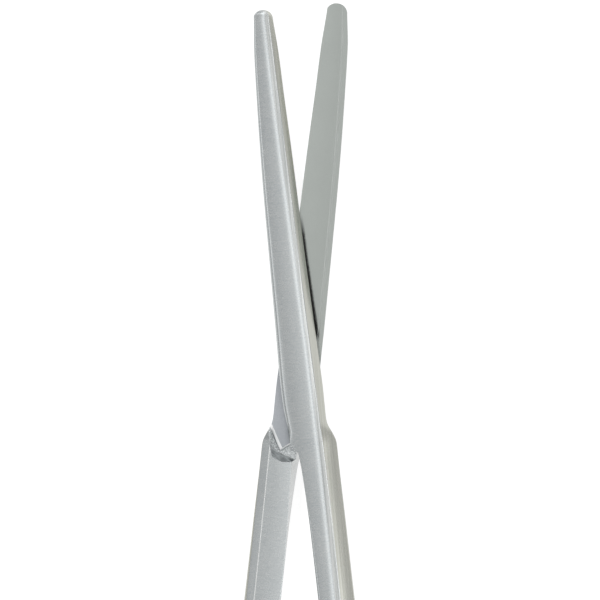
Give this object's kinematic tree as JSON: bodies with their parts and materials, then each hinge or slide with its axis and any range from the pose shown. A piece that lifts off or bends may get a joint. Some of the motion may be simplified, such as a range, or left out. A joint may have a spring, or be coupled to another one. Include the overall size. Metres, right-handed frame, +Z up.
{
  "type": "dissecting scissors",
  "caption": "Slim straight dissecting scissors with blunt tips, bevelled blades crossing in a screwed lap joint, and oval finger rings, lying slightly open.",
  "frame": {"origin": "centre of the footprint, on the surface the scissors lie on; the pivot axis crosses it 27.0 mm further along +Y", "axes": "+X to the right and +Y towards the tips as seen in the picture, +Z up, towards the viewer and away from the surface"},
  "size_m": [0.0822, 0.1787, 0.0048],
  "materials": {
    "satin_steel": "satin brushed stainless steel",
    "screw_steel": "turned and brushed stainless steel"
  },
  "bodies": {
    "front": {"front_half": "satin_steel", "pivot_screw": "screw_steel"},
    "rear": {"rear_half": "satin_steel"}
  },
  "joints": [
    {"name": "blade_hinge", "type": "hinge", "parent": "front", "child": "rear", "pos_m": [0, 0.02695, 0.0023], "axis": [0, 0, -1], "range_deg": [-10.5, 80]}
  ]
}
